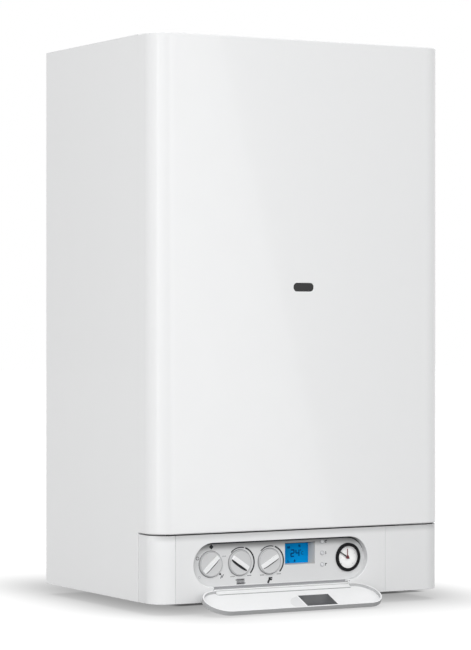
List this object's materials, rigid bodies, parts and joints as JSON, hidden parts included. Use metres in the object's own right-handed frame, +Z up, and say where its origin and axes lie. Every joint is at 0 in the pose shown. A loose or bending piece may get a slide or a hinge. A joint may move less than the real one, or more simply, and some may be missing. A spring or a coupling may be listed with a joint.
{
  "type": "wall-hung gas boiler",
  "caption": "White wall-hung gas boiler with rounded front cover, drop-down control flap, knobs, display, pressure gauge, top flue collar and pipe connections underneath.",
  "frame": {"origin": "midway between the two hanging holes, on the wall plane", "axes": "+X to the right seen from the front, +Y towards the wall, +Z up"},
  "size_m": [0.44, 0.3782, 0.7501],
  "materials": {
    "white_paint": "gloss",
    "white_plastic": "satin",
    "panel_grey": "satin",
    "zinc_sheet": "galvanised",
    "steel": "brushed",
    "dark_window": "gloss",
    "tinted_window": "gloss",
    "display": "gloss",
    "black_plastic": "gloss",
    "button_grey": "matt",
    "dial_white": "matt",
    "needle_black": "matt",
    "hand_red": "satin",
    "clear_lens": "gloss",
    "copper": "bright",
    "brass": "machined",
    "die_cast": "cast",
    "cast_iron": "cast",
    "red_paint": "satin",
    "dark_plastic": "matt",
    "blue_plastic": "matt",
    "red_plastic": "matt",
    "board_green": "satin",
    "ceramic": "glazed",
    "heat_glass": "gloss"
  },
  "bodies": {
    "boiler": {"rear_frame": "zinc_sheet", "left_side_panel": "white_paint", "right_side_panel": "white_paint", "top_panel": "white_paint", "pipe_bracket": "zinc_sheet", "left_cheek": "panel_grey", "right_cheek": "panel_grey", "casing_screws": "steel", "flue_collar": "steel", "draught_hood": "zinc_sheet", "heat_exchanger": "copper", "combustion_chamber": "zinc_sheet", "chamber_front": "zinc_sheet", "sight_glass": "heat_glass", "burner_blades": "steel", "burner_frame": "steel", "gas_manifold": "die_cast", "electrodes": "ceramic", "gas_valve": "die_cast", "gas_valve_coils": "dark_plastic", "gas_pipe": "copper", "expansion_vessel": "red_paint", "plate_exchanger": "steel", "diverter_valve": "brass", "valve_actuator": "dark_plastic", "pump_housing": "cast_iron", "pump_motor": "dark_plastic", "flow_pipe": "copper", "return_riser": "copper", "cold_water_pipe": "copper", "safety_valve": "brass", "air_vent": "brass", "filling_tap": "brass", "connection_stubs": "brass", "control_panel": "panel_grey", "control_box": "dark_plastic", "control_board": "board_green", "display_screen": "display", "knob_encoders": "dark_plastic", "gauge_case": "black_plastic", "gauge_bezel": "black_plastic", "gauge_dial": "dial_white", "gauge_lens": "clear_lens", "flap_hinge_pin": "steel"},
    "flap": {"flap": "white_plastic", "flap_window": "tinted_window"},
    "cover": {"front_cover": "white_paint", "sight_window": "dark_window", "cover_studs": "steel"},
    "mode_knob": {"mode_knob": "white_plastic"},
    "heating_knob": {"heating_knob": "white_plastic"},
    "hot_water_knob": {"hot_water_knob": "white_plastic"},
    "reset_button": {"reset_button": "button_grey"},
    "info_button": {"info_button": "button_grey"},
    "service_button": {"service_button": "button_grey"},
    "needle": {"gauge_needle": "needle_black"},
    "set_hand": {"gauge_set_hand": "hand_red"},
    "pump_rotor": {"pump_rotor": "steel"},
    "safety_cap": {"safety_valve_cap": "red_plastic"},
    "tap_knob": {"filling_tap_knob": "blue_plastic"}
  },
  "joints": [
    {"name": "flap_hinge", "type": "hinge", "parent": "boiler", "child": "flap", "pos_m": [0, -0.32044, -0.6758], "axis": [-1, 0, 0], "range_deg": [0, 113]},
    {"name": "cover_pull", "type": "slide", "parent": "boiler", "child": "cover", "axis": [0, -1, 0], "range_m": [0, 0.25]},
    {"name": "mode_turn", "type": "hinge", "parent": "boiler", "child": "mode_knob", "pos_m": [-0.1338, -0.314, -0.642], "axis": [0, 1, 0], "range_deg": [0, 270]},
    {"name": "heating_turn", "type": "hinge", "parent": "boiler", "child": "heating_knob", "pos_m": [-0.0906, -0.314, -0.642], "axis": [0, 1, 0], "range_deg": [-259, 11]},
    {"name": "hot_water_turn", "type": "hinge", "parent": "boiler", "child": "hot_water_knob", "pos_m": [-0.0464, -0.314, -0.642], "axis": [0, 1, 0], "range_deg": [-15, 255]},
    {"name": "needle_turn", "type": "hinge", "parent": "boiler", "child": "needle", "pos_m": [0.0741, -0.314, -0.642], "axis": [0, 1, 0], "range_deg": [-77, 193]},
    {"name": "set_hand_turn", "type": "hinge", "parent": "boiler", "child": "set_hand", "pos_m": [0.0741, -0.314, -0.642], "axis": [0, 1, 0], "range_deg": [-135, 135]},
    {"name": "reset_press", "type": "slide", "parent": "boiler", "child": "reset_button", "axis": [0, 1, 0], "range_m": [0, 0.0012], "stiffness_N_per_m": 400},
    {"name": "info_press", "type": "slide", "parent": "boiler", "child": "info_button", "axis": [0, 1, 0], "range_m": [0, 0.0012], "stiffness_N_per_m": 400},
    {"name": "service_press", "type": "slide", "parent": "boiler", "child": "service_button", "axis": [0, 1, 0], "range_m": [0, 0.0012], "stiffness_N_per_m": 400},
    {"name": "pump_spin", "type": "hinge", "parent": "boiler", "child": "pump_rotor", "pos_m": [0.14, -0.16, -0.5], "axis": [0, 1, 0], "continuous": true},
    {"name": "safety_cap_turn", "type": "hinge", "parent": "boiler", "child": "safety_cap", "pos_m": [0.19, -0.11, -0.588], "axis": [1, 0, 0], "range_deg": [0, 90]},
    {"name": "tap_turn", "type": "hinge", "parent": "boiler", "child": "tap_knob", "pos_m": [0.10365, -0.135, -0.654], "axis": [0, 1, 0], "range_deg": [0, 90]}
  ]
}
